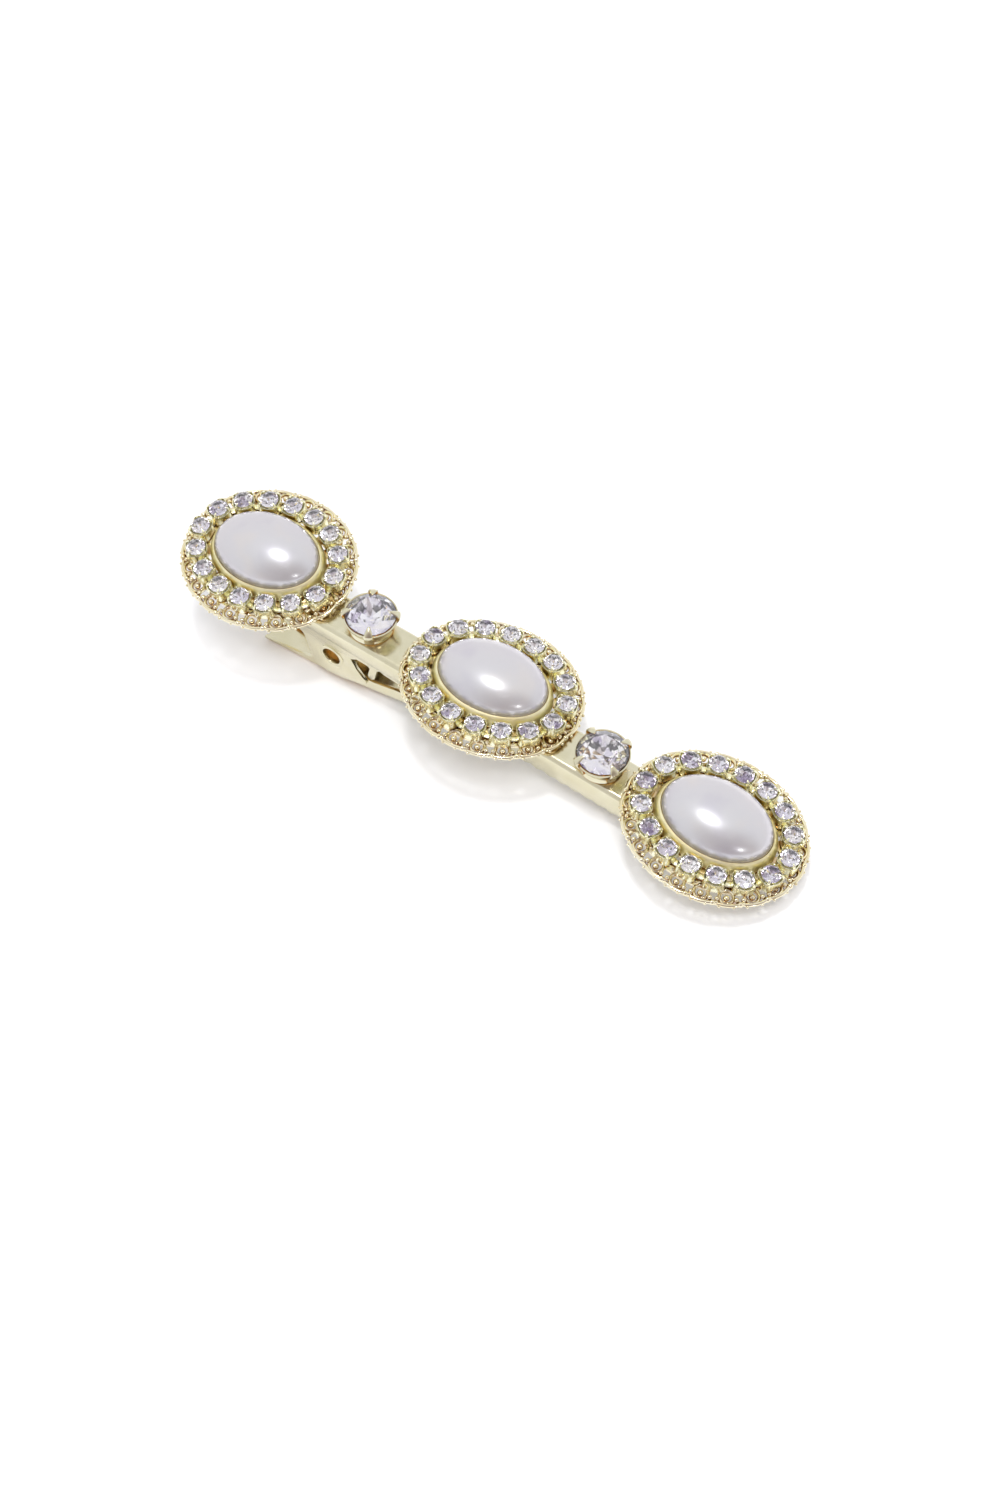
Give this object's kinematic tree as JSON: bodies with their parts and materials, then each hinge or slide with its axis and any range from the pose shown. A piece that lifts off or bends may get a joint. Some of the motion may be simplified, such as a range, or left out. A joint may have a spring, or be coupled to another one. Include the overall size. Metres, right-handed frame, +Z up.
{
  "type": "alligator hair clip",
  "caption": "Toothed spring hair clip with oval pearl ornaments ringed by small stones and claw-set round stones along its flat upper arm.",
  "frame": {"origin": "centre of the whole clip's footprint, on the plane that it lies on", "axes": "+X along the clip from its finger tails to its jaw tip, +Y across it, +Z up"},
  "size_m": [0.0877, 0.021, 0.0178],
  "materials": {
    "light_gold": "polished light gold plating",
    "cup_gold": "polished gold plating",
    "ochre_gold": "satin gold plating",
    "spring_wire": "gold-plated spring steel",
    "solder": "plated solder",
    "pearl": "pearl lacquer, creamy white with a lavender sheen",
    "clear_glass": "clear faceted glass, foiled behind"
  },
  "bodies": {
    "lower_body": {"lower_arm": "light_gold", "torsion_spring": "spring_wire"},
    "upper_body": {"upper_arm": "light_gold", "pivot_pin": "light_gold", "filigree_base_rear": "light_gold", "solder_pad_rear": "solder", "pearl_tray_rear": "ochre_gold", "pearl_rear": "pearl", "cup_chain_rear": "cup_gold", "chain_stones_rear": "clear_glass", "filigree_base_middle": "light_gold", "solder_pad_middle": "solder", "pearl_tray_middle": "ochre_gold", "pearl_middle": "pearl", "cup_chain_middle": "cup_gold", "chain_stones_middle": "clear_glass", "filigree_base_front": "light_gold", "solder_pad_front": "solder", "pearl_tray_front": "ochre_gold", "pearl_front": "pearl", "cup_chain_front": "cup_gold", "chain_stones_front": "clear_glass", "claw_setting_rear": "light_gold", "chaton_rear": "clear_glass", "claw_setting_front": "light_gold", "chaton_front": "clear_glass"}
  },
  "joints": [
    {"name": "jaw_hinge", "type": "hinge", "parent": "lower_body", "child": "upper_body", "pos_m": [-0.02121, -0.00085, 0.0054], "axis": [0, -1, 0], "range_deg": [0, 28], "stiffness_Nm_per_rad": 0.06, "springref_deg": -51.57, "deforming": ["torsion_spring"]}
  ]
}
